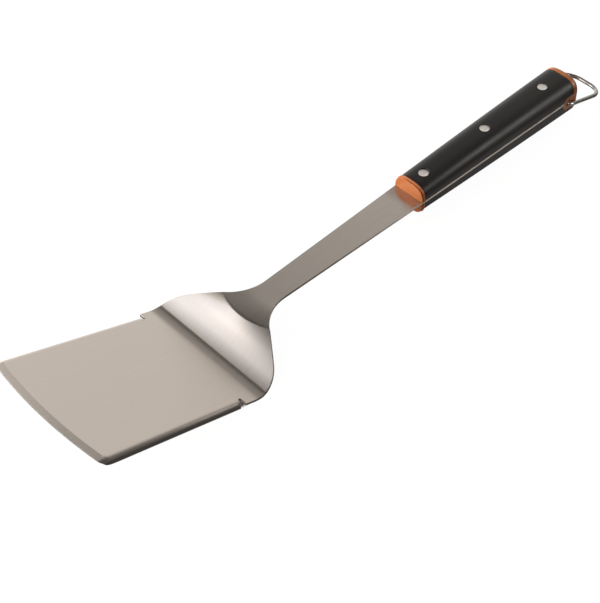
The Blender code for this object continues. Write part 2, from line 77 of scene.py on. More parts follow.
BLADE_LENGTH = 134.7
FRONT_SAGITTA = 4.7
FRONT_HALF_WIDTH = 51.3
REAR_HALF_WIDTH = 49.1
FRONT_CORNER_RADIUS = 6.5
BEVEL_WIDTH = 4.5
EDGE_THICKNESS = 0.6
RIM_ROUNDING = 0.28
CREASE_ANGLE = math.radians(50.0)
FLANGE_RADIUS = 3.8
FLANGE_ANGLE = math.radians(80.0)
FLANGE_LIP = 1.3
SLOT_FRONT = 17.0
SLOT_WIDTH = 2.2
SLOT_DEPTH_Y = 44.9

HEEL_HALF_WIDTH = 50.6
HEEL_CORNER_RADIUS = 25.0
SHOULDER_ANGLE = math.radians(52.0)
NECK_FILLET_RADIUS = 30.0
NECK_END = 57.0
NECK_HALF_WIDTH = 9.4
HANDLE_FRONT = 183.6
HANDLE_REAR = 349.0
HANDLE_FRONT_HALF_WIDTH = 12.7
HANDLE_REAR_HALF_WIDTH = 14.9
SHANK_HALF_WIDTH = 12.4
TANG_END = 343.0

HANDLE_FRONT_HEIGHT = 11.5
UPPER_POWER = 3.0
LOWER_FRONT_POWER = 3.1
LOWER_REAR_POWER = 4.2
SWELL_POWER = 2.0
BOLSTER_LENGTH = 3.1
CAP_LENGTH = 5.3
CAP_EDGE = 3.0
SEAM = 0.12
SOFT_EDGE = 0.25
BOLSTER_SOFT_EDGE = 0.06

RIVET_FIRST = 197.7
RIVET_PITCH = 62.8
RIVET_NAMES = ("front", "middle", "rear")
RIVET_HEAD_RADIUS = 3.7
RIVET_HEAD_THICKNESS = 1.6
RIVET_RECESS = 0.5
RIVET_HOLE_RADIUS = 2.45
COUNTERBORE_GAP = 0.14
SOCKET_RADIUS = 2.1
SOCKET_BORE = 1.6
BORE_FLOOR = 1.0
SOCKET_SHORT = 1.0
POST_RADIUS = 1.4
POST_SHORT = 3.0

TONGUE_WIDTH = 12.0
TONGUE_THICKNESS = 2.0
TONGUE_OVERRUN = 5.0

PIVOT_X = 338.2
PIVOT_DROP = 1.0
LOBE_RADIUS = 5.8
LOBE_INNER_Y = 9.0
LOBE_BLANK_FRONT = 12.0
LOBE_BLANK_OVERLAP = 4.0
PIVOT_HOLE_RADIUS = 2.2
WIRE_RADIUS = 1.5
BAIL_HALF_WIDTH = 16.7
BAIL_LENGTH = 42.2
BAIL_CORNER_RADIUS = 13.0
BAIL_ELBOW_RADIUS = 2.4
PEG_INNER_Y = 10.4

PIVOT_Z = TANG_HEIGHT - PIVOT_DROP
BAIL_TILT = math.asin((PIVOT_Z - WIRE_RADIUS) / BAIL_LENGTH)
CENTRE_X = PIVOT_X - frame["joints"][0]["pos_m"][0] / MM


def at(x, y, z):
    """A design point as a point of the frame, in metres."""
    return Vector(((x - CENTRE_X) * MM, y * MM, z * MM))


# ---- Mesh helpers

def new_object(name, bm, material=None, sharp=35):
    """Turns the bmesh into an object, shaded smooth but for edges over sharp degrees."""
    bmesh.ops.recalc_face_normals(bm, faces=bm.faces)
    mesh = bpy.data.meshes.new(name)
    bm.to_mesh(mesh)
    bm.free()
    obj = bpy.data.objects.new(name, mesh)
    bpy.context.collection.objects.link(obj)
    if material:
        mesh.materials.append(material)
        mesh.shade_smooth()
        if sharp:
            mesh.set_sharp_from_angle(angle=math.radians(sharp))
    return obj


def loft(rings):
    """A closed skin over rings that have as many points each."""
    bm = bmesh.new()
    loops = [[bm.verts.new(point) for point in ring] for ring in rings]
    for first, second in zip(loops, loops[1:]):
        for i in range(len(first)):
            j = (i + 1) % len(first)
            bm.faces.new((first[i], first[j], second[j], second[i]))
    bm.faces.new(loops[0])
    bm.faces.new(loops[-1])
    return bm


def box_mesh(low, high):
    bm = bmesh.new()
    places = [(x, y, z) for x in (low[0], high[0]) for y in (low[1], high[1]) for z in (low[2], high[2])]
    corners = [bm.verts.new(at(*place)) for place in places]
    for quad in ((0, 1, 3, 2), (4, 6, 7, 5), (0, 4, 5, 1), (2, 3, 7, 6), (0, 2, 6, 4), (1, 5, 7, 3)):
        bm.faces.new([corners[i] for i in quad])
    return bm


def turned(profile, x, z, segments=96, axis="Z"):
    """A solid turned about a vertical axis, or one along Y, from (radius, height) pairs."""
    centre = at(x, 0, z)
    rings = []
    for radius, height in profile:
        ring = []
        for i in range(segments):
            turn = math.tau * (i + 0.5) / segments
            u, v, w = radius * MM * math.cos(turn), radius * MM * math.sin(turn), height * MM
            ring.append(centre + (Vector((u, v, w)) if axis == "Z" else Vector((u, w, v))))
        rings.append(ring)
    return loft(rings)


def cut(obj, others, operation="DIFFERENCE"):
    """Applies Booleans with these objects, which are used up."""
    for other in others:
        modifier = obj.modifiers.new("cut", "BOOLEAN")
        modifier.operation = operation
        modifier.solver = "EXACT"
        modifier.object = other
    graph = bpy.context.evaluated_depsgraph_get()
    mesh = bpy.data.meshes.new_from_object(obj.evaluated_get(graph))
    obj.modifiers.clear()
    old = obj.data
    obj.data = mesh
    bpy.data.meshes.remove(old)
    for other in others:
        bpy.data.objects.remove(other)
    return obj


def smooth(obj, angle=35):
    obj.data.shade_smooth()
    obj.data.set_sharp_from_angle(angle=math.radians(angle))


def piece(obj, body, node):
    """Puts the object on its body, in place of its CAD node."""
    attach(obj, body)
    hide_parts(node)
    return obj


# ---- Materials

# Where the steel is made darker, as (start, end) in metres along the plate from the valley: painted shade in
# the fold, which is also rougher, and darker from near the handle to the butt.
FOLD_SHADE_AND_ROUGH_FROM = (-0.0085, -0.0030)
FOLD_SHADE_AND_ROUGH_TO = (0.0008, 0.0030)
TANG_DARK_FROM = (0.172, 0.180)


def node(tree, kind, inputs=None, **settings):
    """A new node. Each input is a value, or a socket to link from."""
    made = tree.nodes.new(kind)
    for key, value in settings.items():
        setattr(made, key, value)
    for key, value in (inputs or {}).items():
        if isinstance(value, bpy.types.NodeSocket):
            tree.links.new(value, made.inputs[key])
        else:
            made.inputs[key].default_value = value
    return made


def new_material(name, **constants):
    """A material, its tree and its shader, with these constants on the shader's own sockets."""
    made = bpy.data.materials.new(name)
    made.use_nodes = True
    shader = made.node_tree.nodes["Principled BSDF"]
    for key, value in constants.items():
        shader.inputs[key.replace("_", " ")].default_value = value
    return made, made.node_tree, shader


def noise(tree, vector, scale, detail=3.0, roughness=0.55, stretch=(1.0, 1.0, 1.0)):
    """A noise value over coordinates in metres. scale is in cells per metre."""
    mapped = node(tree, "ShaderNodeMapping", {"Vector": vector, "Scale": [scale * s for s in stretch]})
    made = node(
        tree,
        "ShaderNodeTexNoise",
        {"Vector": mapped.outputs["Vector"], "Scale": 1.0, "Detail": detail, "Roughness": roughness},
    )
    return made.outputs["Fac"]


def spread(tree, value, low, high, start=0.3, end=0.7):
    """The value from start to end as low to high."""
    made = node(
        tree,
        "ShaderNodeMapRange",
        {"Value": value, "From Min": start, "From Max": end, "To Min": low, "To Max": high},
    )
    return made.outputs["Result"]


def eased(tree, value, start, end, low=0.0, high=1.0):
    """low to high with soft ends as the value goes from start to end."""
    made = node(
        tree,
        "ShaderNodeMapRange",
        {"Value": value, "From Min": start, "From Max": end, "To Min": low, "To Max": high},
        interpolation_type="SMOOTHSTEP",
    )
    return made.outputs["Result"]


def product(tree, first, second):
    return node(tree, "ShaderNodeMath", {0: first, 1: second}, operation="MULTIPLY").outputs[0]


def between(tree, factor, first, second):
    """A mix of two colours."""
    made = node(tree, "ShaderNodeMix", {"Factor": factor}, data_type="RGBA")
    for socket, colour in ((made.inputs[6], first), (made.inputs[7], second)):
        if isinstance(colour, bpy.types.NodeSocket):
            tree.links.new(colour, socket)
        else:
            socket.default_value = (*colour, 1.0)
    return made.outputs[2]


def weighted(tree, first, second, share):
    """first plus share of second."""
    scaled = product(tree, second, share)
    return node(tree, "ShaderNodeMath", {0: first, 1: scaled}, operation="ADD").outputs[0]


def brushed_steel():
    """Steel ground along the tool, with painted shade in the rougher fold and darker at the butt. UV is
    (across, along) in metres.
    """
    made, tree, shader = new_material("brushed_steel", Metallic=1.0, Anisotropic=0.86)
    uv = node(tree, "ShaderNodeUVMap", uv_map="UVMap").outputs["UV"]
    tangent = node(tree, "ShaderNodeTangent", direction_type="UV_MAP", uv_map="UVMap")
    tree.links.new(tangent.outputs["Tangent"], shader.inputs["Tangent"])
    fine = noise(tree, uv, 5200, 3.0, 0.6, (1.0, 0.0065, 1.0))
    broad = noise(tree, uv, 420, 4.0, 0.6, (1.0, 0.022, 1.0))
    cloud = noise(tree, uv, 30, 3.0, 0.5, (1.0, 0.6, 1.0))
    tone = weighted(tree, weighted(tree, fine, broad, 0.7), cloud, 0.7)
    shade = spread(tree, tone, 0.0, 1.0, 0.85, 1.55)
    colour = between(tree, shade, (0.582, 0.529, 0.483), (0.652, 0.597, 0.550))
    along = node(tree, "ShaderNodeSeparateXYZ", {"Vector": uv}).outputs["Y"]
    # Painted shade in the fold: its colour is pulled towards dark grey, and the same mask also makes it
    # rougher.
    fold = product(tree, eased(tree, along, *FOLD_SHADE_AND_ROUGH_FROM), eased(tree, along, *FOLD_SHADE_AND_ROUGH_TO, 1.0, 0.0))
    colour = between(tree, product(tree, fold, 0.27), colour, (0.20, 0.18, 0.165))
    # The steel's colour is darker from just ahead of the handle back to the butt.
    butt = eased(tree, along, *TANG_DARK_FROM, 0.0, 0.45)
    colour = between(tree, butt, colour, (0.30, 0.27, 0.25))
    tree.links.new(colour, shader.inputs["Base Color"])
    rough = weighted(tree, spread(tree, tone, 0.26, 0.34, 0.85, 1.55), fold, 0.14)
    tree.links.new(rough, shader.inputs["Roughness"])
    grain = weighted(tree, fine, broad, 0.6)
    bump = node(tree, "ShaderNodeBump", {"Height": grain, "Strength": 0.08, "Distance": 0.00002})
    tree.links.new(bump.outputs["Normal"], shader.inputs["Normal"])
    return made


def black_scale():
    """Satin moulded plastic: a fine spark texture, slightly rubbed in broad patches."""
    made, tree, shader = new_material("black_scale", Specular_IOR_Level=0.5)
    place = node(tree, "ShaderNodeTexCoord").outputs["Object"]
    spark = noise(tree, place, 3200, 2.0, 0.5)
    rub = noise(tree, place, 70, 4.0, 0.6, (0.35, 1.0, 1.0))
    tone = spread(tree, weighted(tree, spark, rub, 1.0), 0.0, 1.0, 0.8, 1.2)
    colour = between(tree, tone, (0.0075, 0.0066, 0.0068), (0.0115, 0.0103, 0.0105))
    tree.links.new(colour, shader.inputs["Base Color"])
    tree.links.new(spread(tree, rub, 0.42, 0.52), shader.inputs["Roughness"])
    bump = node(tree, "ShaderNodeBump", {"Height": spark, "Strength": 0.22, "Distance": 0.00003})
    tree.links.new(bump.outputs["Normal"], shader.inputs["Normal"])
    return made


def orange_polymer():
    """Glossier moulded plastic with faint flow clouds."""
    made, tree, shader = new_material("orange_polymer", Specular_IOR_Level=0.5)
    place = node(tree, "ShaderNodeTexCoord").outputs["Object"]
    spark = noise(tree, place, 2400, 2.0, 0.5)
    flow = noise(tree, place, 150, 4.0, 0.6)
    colour = between(tree, spread(tree, flow, 0.0, 1.0), (0.68, 0.205, 0.058), (0.78, 0.248, 0.077))
    tree.links.new(colour, shader.inputs["Base Color"])
    tree.links.new(spread(tree, flow, 0.30, 0.40), shader.inputs["Roughness"])
    bump = node(tree, "ShaderNodeBump", {"Height": spark, "Strength": 0.15, "Distance": 0.00003})
    tree.links.new(bump.outputs["Normal"], shader.inputs["Normal"])
    return made


def rivet_steel():
    """A polished head with a fine mottle and faint scratches."""
    made, tree, shader = new_material("rivet_steel", Metallic=1.0)
    place = node(tree, "ShaderNodeTexCoord").outputs["Object"]
    mottle = noise(tree, place, 1500, 3.0, 0.6)
    scratch = noise(tree, place, 5000, 2.0, 0.5, (1.0, 0.15, 1.0))
    tone = weighted(tree, mottle, scratch, 0.6)
    colour = between(tree, spread(tree, tone, 0.0, 1.0, 0.6, 1.0), (0.88, 0.83, 0.79), (1.0, 0.97, 0.94))
    tree.links.new(colour, shader.inputs["Base Color"])
    tree.links.new(spread(tree, tone, 0.30, 0.44, 0.6, 1.0), shader.inputs["Roughness"])
    bump = node(tree, "ShaderNodeBump", {"Height": tone, "Strength": 0.2, "Distance": 0.00003})
    tree.links.new(bump.outputs["Normal"], shader.inputs["Normal"])
    return made


def wire_steel():
    """Drawn and polished wire, with die lines along it. UV is (round, along) in metres."""
    made, tree, shader = new_material("wire_steel", Metallic=1.0)
    uv = node(tree, "ShaderNodeUVMap", uv_map="UVMap").outputs["UV"]
    lines = noise(tree, uv, 4000, 3.0, 0.6, (1.0, 0.02, 1.0))
    cloud = noise(tree, uv, 250, 3.0, 0.6)
    colour = between(tree, spread(tree, lines, 0.0, 1.0), (0.38, 0.365, 0.35), (0.48, 0.465, 0.45))
    tree.links.new(colour, shader.inputs["Base Color"])
    rough = spread(tree, weighted(tree, lines, cloud, 1.0), 0.16, 0.28, 0.8, 1.2)
    tree.links.new(rough, shader.inputs["Roughness"])
    bump = node(tree, "ShaderNodeBump", {"Height": lines, "Strength": 0.12, "Distance": 0.00002})
    tree.links.new(bump.outputs["Normal"], shader.inputs["Normal"])
    return made


# ---- Plate

VALLEY_START = (VALLEY_BLADE_RADIUS * math.sin(BLADE_PITCH) - VALLEY_BOTTOM_X) / math.cos(BLADE_PITCH)
FOLD_Z = PLATE + VALLEY_BLADE_RADIUS * (1 - math.cos(BLADE_PITCH)) - VALLEY_START * math.sin(BLADE_PITCH)
FLANGE_WIDTH = FLANGE_RADIUS * math.sin(FLANGE_ANGLE) + FLANGE_LIP * math.cos(FLANGE_ANGLE)
FLAT_COLUMNS = 40
FLANGE_COLUMNS = 14
BLADE_STEPS = 40
SLOT_STEPS = 12
HEEL_STEPS = 5
VALLEY_STEPS = 24


def bend(start, radius, from_slope, to_slope, steps):
    """(x, z, slope) points of an arc that goes on from start."""
    side = 1 if to_slope > from_slope else -1
    x, z, _ = start
    points = []
    for i in range(1, steps + 1):
        slope = from_slope + (to_slope - from_slope) * i / steps
        dx = side * radius * (math.sin(slope) - math.sin(from_slope))
        dz = -side * radius * (math.cos(slope) - math.cos(from_slope))
        points.append((x + dx, z + dz, slope))
    return points


def straight(start, length, steps):
    """(x, z, slope) points of a straight stretch that goes on from start."""
    x, z, slope = start
    return [
        (x + math.cos(slope) * length * i / steps, z + math.sin(slope) * length * i / steps, slope)
        for i in range(1, steps + 1)
    ]


def rear_line():
    """(x, z, slope) along the top of the plate, from the valley up the riser and on to the tang's end."""
    line = [(VALLEY_BOTTOM_X, PLATE, 0.0)]
    line += bend(line[-1], VALLEY_RISER_RADIUS, 0.0, RISER_EXIT_SLOPE, 12)
    line += bend(line[-1], RISER_FOOT_RADIUS, RISER_EXIT_SLOPE, RISER_STEEPEST, 10)
    rise_above = (
        RISER_HEAD_RADIUS * (math.cos(RISER_ENTRY_SLOPE) - math.cos(RISER_STEEPEST))
        + RIDGE_RADIUS * (math.cos(EASE_SLOPE) - math.cos(RISER_ENTRY_SLOPE))
        + NECK_BEND_RADIUS * (1 - math.cos(EASE_SLOPE))
    )
    rise = TANG_HEIGHT + PLATE / 2 - line[-1][1] - rise_above
    line += straight(line[-1], rise / math.sin(RISER_STEEPEST), 12)
    line += bend(line[-1], RISER_HEAD_RADIUS, RISER_STEEPEST, RISER_ENTRY_SLOPE, 12)
    line += bend(line[-1], RIDGE_RADIUS, RISER_ENTRY_SLOPE, EASE_SLOPE, RIDGE_STEPS)
    line += bend(line[-1], NECK_BEND_RADIUS, EASE_SLOPE, 0.0, 16)
    line += straight(line[-1], NECK_END - line[-1][0], 8)
    line += straight(line[-1], HANDLE_FRONT - line[-1][0], 40)
    line += straight(line[-1], TANG_END - line[-1][0], 40)
    return line


def blade_point(along):
    """(x, z, slope) of the top of the plate at a length ahead of the valley."""
    if along >= VALLEY_START:
        return (-along * math.cos(BLADE_PITCH), FOLD_Z + along * math.sin(BLADE_PITCH), -BLADE_PITCH)
    slope = -BLADE_PITCH * along / VALLEY_START
    return (
        VALLEY_BOTTOM_X + VALLEY_BLADE_RADIUS * math.sin(slope),
        PLATE + VALLEY_BLADE_RADIUS * (1 - math.cos(slope)),
        slope,
    )


def handle_half_width(x):
    """Half the width of the handle, and of the tang inside it."""
    share = (x - HANDLE_FRONT) / (HANDLE_REAR - HANDLE_FRONT)
    return HANDLE_FRONT_HALF_WIDTH + (HANDLE_REAR_HALF_WIDTH - HANDLE_FRONT_HALF_WIDTH) * share


def half_width(x):
    """Half the plate's width behind the relief slots."""
    fillet_y = NECK_HALF_WIDTH + NECK_FILLET_RADIUS
    line_end = NECK_END - NECK_FILLET_RADIUS * math.sin(SHOULDER_ANGLE)
    line_end_y = fillet_y - NECK_FILLET_RADIUS * math.cos(SHOULDER_ANGLE)
    corner_y = HEEL_HALF_WIDTH - HEEL_CORNER_RADIUS
    line_start_y = corner_y + HEEL_CORNER_RADIUS * math.cos(SHOULDER_ANGLE)
    line_start = line_end - (line_start_y - line_end_y) / math.tan(SHOULDER_ANGLE)
    corner_x = line_start - HEEL_CORNER_RADIUS * math.sin(SHOULDER_ANGLE)
    if x <= corner_x:
        return HEEL_HALF_WIDTH
    if x <= line_start:
        return corner_y + math.sqrt(HEEL_CORNER_RADIUS**2 - (x - corner_x) ** 2)
    if x <= line_end:
        return line_end_y + (line_end - x) * math.tan(SHOULDER_ANGLE)
    if x <= NECK_END:
        return fillet_y - math.sqrt(NECK_FILLET_RADIUS**2 - (NECK_END - x) ** 2)
    if x <= HANDLE_FRONT:
        share = (x - NECK_END) / (HANDLE_FRONT - NECK_END)
        return NECK_HALF_WIDTH + (SHANK_HALF_WIDTH - NECK_HALF_WIDTH) * share
    return handle_half_width(x)


def flange_profile(column):
    """(dy, dz, normal y, normal z, flat length) for a column of the side flange."""
    turn = FLANGE_ANGLE * min(1.0, column / (FLANGE_COLUMNS - 2))
    lip = FLANGE_LIP * max(0.0, (column - FLANGE_COLUMNS + 2) / 2)
    s, c = math.sin(turn), math.cos(turn)
    dy = FLANGE_RADIUS * s + lip * c
    dz = -FLANGE_RADIUS * (1 - c) - lip * s
    return (dy, dz, s, c, FLANGE_RADIUS * turn + lip)


def front_edge(lateral):
    """How far ahead of the valley the blade's curved front edge is, at a flat distance from its middle."""
    curve = BLADE_LENGTH - FRONT_SAGITTA * (lateral / FRONT_HALF_WIDTH) ** 2
    full = FRONT_HALF_WIDTH - FLANGE_WIDTH + flange_profile(FLANGE_COLUMNS)[4]
    into_corner = lateral - (full - FRONT_CORNER_RADIUS)
    if into_corner <= 0:
        return curve
    return curve - FRONT_CORNER_RADIUS + math.sqrt(max(0.0, FRONT_CORNER_RADIUS**2 - into_corner**2))


def blade_row(share):
    """A row of half the blade. share 0 is the front edge, 1 the back of the bevel, 2 the relief slot."""
    row = []
    near_flat = FRONT_HALF_WIDTH - FLANGE_WIDTH
    for column in range(FLAT_COLUMNS + FLANGE_COLUMNS + 1):
        if column <= FLAT_COLUMNS:
            lateral, dy, dz, ny, nz = near_flat * column / FLAT_COLUMNS, 0.0, 0.0, 0.0, 1.0
        else:
            dy, dz, ny, nz, flat = flange_profile(column - FLAT_COLUMNS)
            lateral = near_flat + flat
        front = front_edge(lateral)
        if share <= 1:
            along = front - BEVEL_WIDTH * share
        else:
            along = front - BEVEL_WIDTH + (SLOT_FRONT - front + BEVEL_WIDTH) * (share - 1)
        x, z, slope = blade_point(along)
        taper = (FRONT_HALF_WIDTH - REAR_HALF_WIDTH) * along / BLADE_LENGTH
        flat_edge = REAR_HALF_WIDTH + taper - FLANGE_WIDTH
        y = flat_edge * min(column, FLAT_COLUMNS) / FLAT_COLUMNS + dy
        thin = (PLATE - EDGE_THICKNESS) * nz * (1 - min(1.0, share))
        row.append((x, y, z, slope, dz, ny, nz, PLATE - thin, lateral, -along))
    return row


def flat_row(point, width, along, inner=None, bow=0.0, columns=FLAT_COLUMNS + FLANGE_COLUMNS):
    """A row of half the plate behind the blade. bow shifts its middle towards the blade."""
    x, z, slope = point
    share = SLOT_DEPTH_Y / HEEL_HALF_WIDTH if inner is None else inner
    row = []
    for column in range(columns + 1):
        if column <= FLAT_COLUMNS:
            y = width * share * column / FLAT_COLUMNS
        else:
            y = width * (share + (1 - share) * (column - FLAT_COLUMNS) / FLANGE_COLUMNS)
        shift = -bow * (1 - (y / width) ** 2)
        row.append((x + shift, y, z, slope, 0.0, 0.0, 1.0, PLATE, y, along))
    return row


BEVEL_ROWS = (0.0, 0.07, 0.35, 0.65, 1.0)


def plate_rows():
    """Rows from front to butt: (x, y, z, slope, drop, normal y, normal z, thickness, across, along)."""
    rows = [blade_row(share) for share in BEVEL_ROWS]
    rows += [blade_row(1 + i / BLADE_STEPS) for i in range(1, BLADE_STEPS + 1)]
    radius = SLOT_WIDTH / 2
    for i in range(1, SLOT_STEPS):
        offset = radius * math.cos(math.pi * i / SLOT_STEPS)
        depth = SLOT_DEPTH_Y + radius - math.sqrt(radius**2 - offset**2)
        along = SLOT_FRONT - radius + offset
        rows.append(flat_row(blade_point(along), depth, -along, inner=1.0, columns=FLAT_COLUMNS))
    slot_back = SLOT_FRONT - SLOT_WIDTH
    heel = [slot_back - (slot_back - VALLEY_START) * i / HEEL_STEPS for i in range(HEEL_STEPS)]
    heel += [VALLEY_START * (VALLEY_STEPS - i) / VALLEY_STEPS for i in range(VALLEY_STEPS)]
    for along in heel:
        point = blade_point(along)
        inner = (SLOT_DEPTH_Y + radius) / HEEL_HALF_WIDTH if along == slot_back else None
        rows.append(flat_row(point, half_width(point[0]), -along, inner=inner))
    line = rear_line()
    ridge_x = next(x for x, _, slope in line if x > VALLEY_START and slope < RISER_ENTRY_SLOPE)
    # Back by one step, to where the ridge bend starts.
    ridge_x -= RIDGE_RADIUS / RIDGE_STEPS * (math.sin(RISER_ENTRY_SLOPE) - math.sin(EASE_SLOPE))
    along, last = 0.0, line[0]
    for x, z, slope in line:
        along += math.hypot(x - last[0], z - last[1])
        last = (x, z)
        if x < ridge_x:
            bump = max(0.0, (x - VALLEY_START) / (ridge_x - VALLEY_START))
        else:
            bump = max(0.0, 1 - (x - ridge_x) / (NECK_END - ridge_x))
        rows.append(flat_row((x, z, slope), half_width(x), along, bow=RIDGE_BOW * bump**2))
    return rows


def plate(material):
    """The steel plate: its rows mirrored across the tool, given thickness, and its rims rounded."""
    bm = bmesh.new()
    uv_layer = bm.loops.layers.uv.new("UVMap")
    top, bottom, uv = [], [], {}
    for row in plate_rows():
        top_row, bottom_row = {}, {}
        for side in (1, -1):
            for column, (x, y, z, slope, dz, ny, nz, thickness, across, along) in enumerate(row):
                if side < 0 and column == 0:
                    continue
                up = Vector((-math.sin(slope), 0.0, math.cos(slope)))
                full_up = up * nz + Vector((0.0, side * ny, 0.0))
                low = Vector((x, side * y, z)) + up * dz - full_up * PLATE
                key = side * column
                top_row[key] = bm.verts.new(at(*(low + full_up * thickness)))
                bottom_row[key] = bm.verts.new(at(*low))
                uv[top_row[key]] = (side * across * MM, along * MM)
                uv[bottom_row[key]] = (side * (across + PLATE) * MM, (along + PLATE) * MM)
        top.append(top_row)
        bottom.append(bottom_row)
    edges = set()
    for i in range(len(top) - 1):
        columns = sorted(set(top[i]) & set(top[i + 1]))
        for a, b in zip(columns, columns[1:]):
            cell = ((i, a), (i, b), (i + 1, b), (i + 1, a))
            bm.faces.new([top[r][c] for r, c in cell])
            bm.faces.new([bottom[r][c] for r, c in reversed(cell)])
            edges.update(zip(cell, cell[1:] + cell[:1]))
    rim = []
    for first, second in edges:
        if (second, first) not in edges:
            (r0, c0), (r1, c1) = first, second
            bm.faces.new((top[r1][c1], top[r0][c0], bottom[r0][c0], bottom[r1][c1]))
            rim += [(top[r0][c0], top[r1][c1]), (bottom[r0][c0], bottom[r1][c1])]
    for face in bm.faces:
        for loop in face.loops:
            loop[uv_layer].uv = uv[loop.vert]
    rim_edges = [bm.edges.get(pair) for pair in rim]
    back = top[len(BEVEL_ROWS) - 1]
    crease = [bm.edges.get((back[c], back[c + 1])) for c in range(-FLAT_COLUMNS, FLAT_COLUMNS)]
    bmesh.ops.recalc_face_normals(bm, faces=bm.faces)
    bmesh.ops.bevel(
        bm, geom=rim_edges, offset=RIM_ROUNDING * MM, offset_type="OFFSET", segments=2, profile=0.5,
        affect="EDGES", clamp_overlap=True,
    )
    for edge in bm.edges:
        edge.smooth = edge.calc_face_angle(0.0) < CREASE_ANGLE
    for edge in crease:
        if edge.is_valid:
            edge.smooth = False
    return new_object("blade_plate", bm, material, sharp=None)


# ---- Handle

def handle_height(x):
    """How far the handle reaches above the middle of the tang, and below it."""
    ahead = (HANDLE_REAR - x) / (HANDLE_REAR - HANDLE_FRONT)
    return TANG_HEIGHT - (TANG_HEIGHT - HANDLE_FRONT_HEIGHT) * max(0.0, ahead) ** SWELL_POWER


def section(x, side, inset=0.0, base=None, soft=SOFT_EDGE, steps=88):
    """(y, height) over half of the handle's outline. With a base it stops that high over the tang."""
    width, height = handle_half_width(x) - inset, handle_height(x) - inset
    share = (x - HANDLE_FRONT) / (HANDLE_REAR - HANDLE_FRONT)
    power = UPPER_POWER if side > 0 else LOWER_FRONT_POWER + (LOWER_REAR_POWER - LOWER_FRONT_POWER) * share
    lowest = base + soft if base else 0.0
    start = math.asin((lowest / height) ** (power / 2)) if base else 0.0
    points = []
    for i in range(steps + 1):
        turn = start + (math.pi - 2 * start) * i / steps
        c, s = math.cos(turn), math.sin(turn)
        points.append((math.copysign(width * abs(c) ** (2 / power), c), height * s ** (2 / power)))
    if base:
        edge = points[0][0]
        rounds = []
        for i in range(4):
            turn = math.pi / 2 * i / 4
            rounds.append((edge - soft * (1 - math.sin(turn)), lowest - soft * math.cos(turn)))
        points = rounds + points + [(-y, z) for y, z in reversed(rounds)]
    return points


def half_solid(stations, side, soft=SOFT_EDGE):
    """A solid on one side of the tang with the handle's outline at each (x, inset)."""
    base = PLATE / 2 + SEAM / 2
    rings = []
    for x, inset in stations:
        rings.append([at(x, y, TANG_HEIGHT + side * z) for y, z in section(x, side, inset, base, soft)])
    return loft(rings)


def full_solid(stations):
    """A solid with the handle's whole outline at each (x, inset)."""
    rings = []
    for x, inset in stations:
        upper = section(x, 1, inset)
        lower = [(-y, -z) for y, z in section(x, -1, inset)[1:-1]]
        rings.append([at(x, y, TANG_HEIGHT + z) for y, z in upper + lower])
    return loft(rings)


def rounded(start, end, count):
    """(x, inset) stations from start to end, with rounded rims."""
    turns = [math.pi / 2 * i / 4 for i in range(5)]
    rim = [(SOFT_EDGE * (1 - math.cos(turn)), SOFT_EDGE * (1 - math.sin(turn))) for turn in turns]
    inner = end - start - SOFT_EDGE - SOFT_EDGE
    stations = [(start + along, inset) for along, inset in rim]
    stations += [(start + SOFT_EDGE + inner * i / count, 0.0) for i in range(1, count)]
    stations += [(end - along, inset) for along, inset in reversed(rim)]
    return stations


def rivet_x(index):
    return RIVET_FIRST + RIVET_PITCH * index


def head_floor(index):
    """How far the underside of a rivet's head is from the middle of the tang."""
    return handle_height(rivet_x(index)) - RIVET_RECESS - RIVET_HEAD_THICKNESS


def rivet_hole(index):
    profile = [(RIVET_HOLE_RADIUS, TANG_HEIGHT + 2), (RIVET_HOLE_RADIUS, -TANG_HEIGHT - 2)]
    return new_object("hole", turned(profile, rivet_x(index), TANG_HEIGHT, 48))


def counterbore(index, side):
    """A flat-bottomed bore with a broken edge at the handle's surface."""
    radius, face = RIVET_HEAD_RADIUS + COUNTERBORE_GAP, handle_height(rivet_x(index))
    profile = [
        (radius + 1.3, side * (face + 1.0)),
        (radius + 0.25, side * (face - 0.05)),
        (radius, side * (face - 0.3)),
        (radius, side * (head_floor(index) - 0.1)),
    ]
    return new_object("bore", turned(profile, rivet_x(index), TANG_HEIGHT, 96))


def tongue_box(start, end, side, margin):
    """A tongue that lies on the tang or, with a margin, the cutter for its pocket in a scale."""
    near = PLATE / 2 + (SEAM / 2 if margin == 0 else -0.3)
    far = PLATE / 2 + SEAM / 2 + TONGUE_THICKNESS + margin
    heights = sorted((TANG_HEIGHT + side * near, TANG_HEIGHT + side * far))
    half = TONGUE_WIDTH / 2 + margin
    return new_object("tongue", box_mesh((start, -half, heights[0]), (end, half, heights[1])))


def front_tongue(side, margin=0.0):
    start = HANDLE_FRONT + BOLSTER_LENGTH / 2 - margin
    return tongue_box(start, rivet_x(0) + TONGUE_OVERRUN + margin, side, margin)


def rear_tongue(side, margin=0.0):
    return tongue_box(
        rivet_x(2) - TONGUE_OVERRUN - margin, HANDLE_REAR - CAP_LENGTH / 2 + margin, side, margin
    )


def lobe_prism(clearance):
    """Both lobes' outline beside the handle, round the pivot and on to the cap."""
    bm = bmesh.new()
    radius = LOBE_RADIUS + clearance
    outline = []
    for i in range(49):
        turn = math.pi / 2 + math.pi * i / 48
        outline.append((PIVOT_X + radius * math.cos(turn), PIVOT_Z + radius * math.sin(turn)))
    rear = HANDLE_REAR - CAP_LENGTH / 2
    outline += [(rear, PIVOT_Z - radius), (rear, PIVOT_Z + radius)]
    for side in (1, -1):
        near = [bm.verts.new(at(x, side * (LOBE_INNER_Y - clearance), z)) for x, z in outline]
        far = [bm.verts.new(at(x, side * (HANDLE_REAR_HALF_WIDTH + 5), z)) for x, z in outline]
        for i in range(len(outline)):
            j = (i + 1) % len(outline)
            bm.faces.new((near[i], near[j], far[j], far[i]))
        bm.faces.new(near)
        bm.faces.new(far)
    return new_object("lobe", bm)


